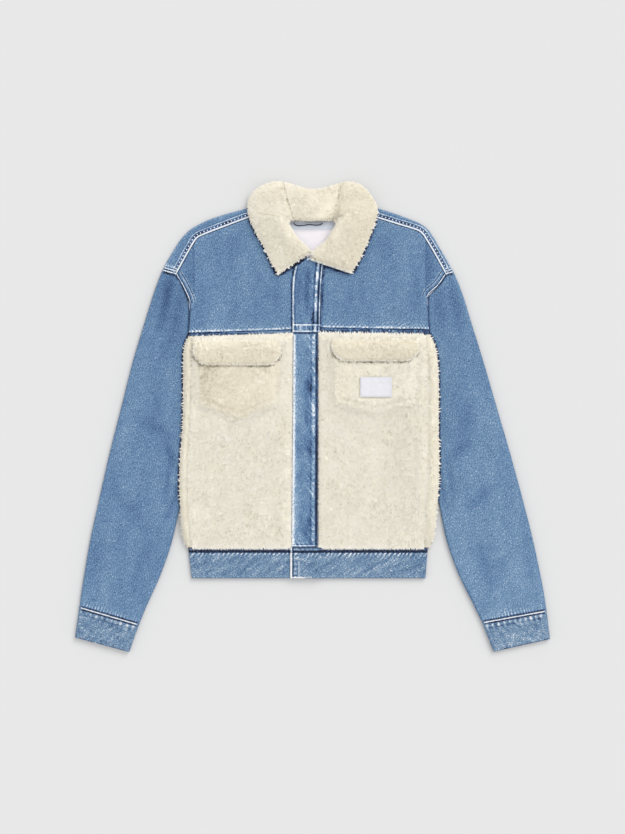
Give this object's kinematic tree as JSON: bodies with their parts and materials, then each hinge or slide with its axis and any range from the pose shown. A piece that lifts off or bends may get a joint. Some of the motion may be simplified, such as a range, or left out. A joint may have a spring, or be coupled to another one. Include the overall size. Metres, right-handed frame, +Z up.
{
  "type": "sherpa lined jacket",
  "caption": "Cropped denim jacket with sherpa front panels, pockets and collar, fastened with a concealed fly and laid out flat, sleeves at its sides.",
  "frame": {"origin": "centre of the bounding box in plan, on the surface that the jacket lies on", "axes": "+Z up from the surface, out of the jacket's front; +Y from hem to collar; +X towards the wearer's left sleeve"},
  "size_m": [0.784, 0.7767, 0.027],
  "materials": {
    "denim": "washed mid blue denim twill, faded along the seams",
    "sherpa": "cream curly pile, matt",
    "tape": "grey blue twill tape",
    "label": "white woven satin, blank"
  },
  "bodies": {
    "root": {"back_yoke": "denim", "back_panel": "denim", "waistband": "denim", "placket_upper": "denim", "placket_lower": "denim", "collar": "sherpa", "under_collar": "denim", "hanger_loop": "tape", "neck_label": "label", "chest_label": "label", "front_yoke_right": "denim", "sleeve_right": "denim", "cuff_right": "denim", "front_panel_right": "sherpa", "side_panel_right": "sherpa", "pocket_right": "sherpa", "pocket_flap_right": "sherpa", "front_yoke_left": "denim", "sleeve_left": "denim", "cuff_left": "denim", "front_panel_left": "sherpa", "side_panel_left": "sherpa", "pocket_left": "sherpa", "pocket_flap_left": "sherpa"}
  },
  "joints": []
}
